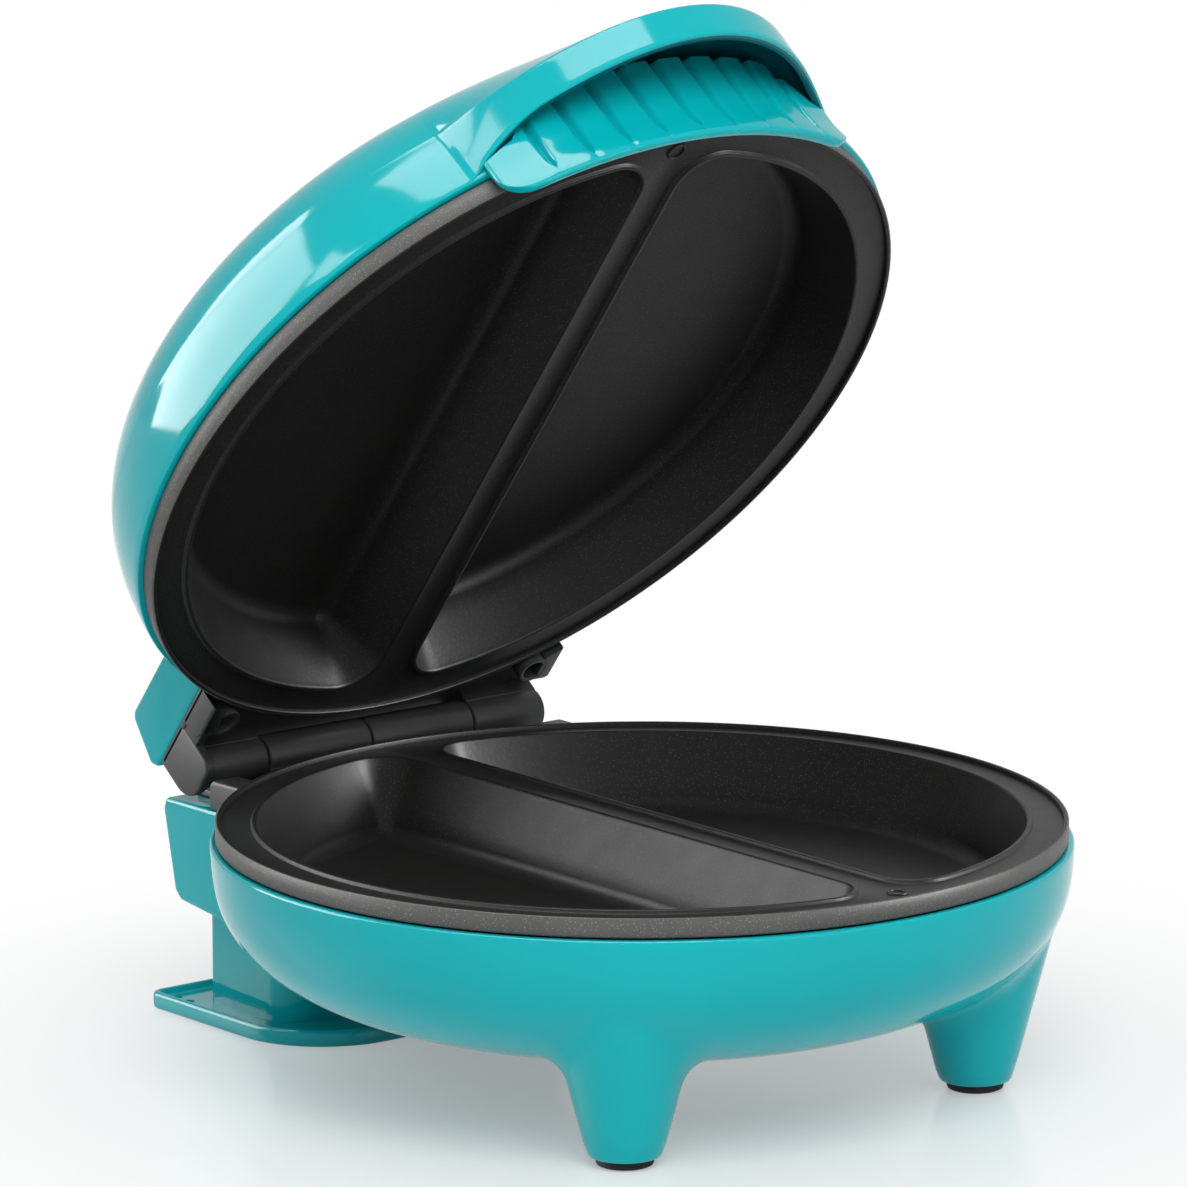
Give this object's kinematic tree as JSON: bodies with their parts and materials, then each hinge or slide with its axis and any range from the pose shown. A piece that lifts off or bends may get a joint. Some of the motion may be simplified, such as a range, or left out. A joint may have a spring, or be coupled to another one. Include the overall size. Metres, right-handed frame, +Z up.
{
  "type": "electric omelette maker",
  "caption": "Round countertop omelette cooker in glossy teal: bowl base and hinged domed lid, each with half-moon non-stick wells, a fluted finger grip and a rear barrel hinge.",
  "frame": {"origin": "On the table plane, on the vertical axis of the round cooking plates.", "axes": "+Z is up. -Y is the front, where the handle is. +Y is the rear, where the hinge and the rear foot are. +X is the right-hand side seen from the front. The hinge axis runs along X. The lid is modelled 52 degrees open."},
  "size_m": [0.2166, 0.2474, 0.2735],
  "materials": {
    "teal_shell": "glossy moulded plastic",
    "nonstick_plate": "die-cast, satin non-stick coating with a fine speckle",
    "hinge_black": "satin black paint",
    "black_rubber": "matte",
    "element_steel": "drawn tube, heat-tinted",
    "shield_aluminium": "bright rolled sheet",
    "screw_steel": "zinc plated",
    "ceramic_block": "glazed ceramic",
    "phenolic": "moulded phenolic",
    "wire_sleeve": "woven glass sleeve",
    "red_lens": "translucent",
    "green_lens": "translucent",
    "lamp_glass": "clear"
  },
  "bodies": {
    "base": {"lower_housing": "teal_shell", "leg_pads": "black_rubber", "rear_column": "teal_shell", "rear_foot": "teal_shell", "rear_foot_screws": "screw_steel", "cord_bush": "black_rubber", "terminal_block": "ceramic_block", "lower_plate": "nonstick_plate", "lower_element": "element_steel", "lower_heat_shield": "shield_aluminium", "lower_plate_screws": "screw_steel", "thermostat": "phenolic", "thermal_fuse": "screw_steel", "lower_wiring": "wire_sleeve", "lower_hinge_bracket": "hinge_black", "lower_hinge_screws": "screw_steel", "hinge_pin": "screw_steel"},
    "lid": {"upper_housing": "teal_shell", "handle_grip": "teal_shell", "upper_hinge_block": "teal_shell", "upper_plate": "nonstick_plate", "upper_element": "element_steel", "upper_heat_shield": "shield_aluminium", "upper_plate_screws": "screw_steel", "upper_wiring": "wire_sleeve", "power_lens": "red_lens", "ready_lens": "green_lens", "indicator_lamps": "lamp_glass", "upper_hinge_bracket": "hinge_black", "upper_hinge_screws": "screw_steel"}
  },
  "joints": [
    {"name": "lid_hinge", "type": "hinge", "parent": "base", "child": "lid", "pos_m": [0, 0.1165, 0.066], "axis": [-1, 0, 0], "range_deg": [-52, 38]}
  ]
}
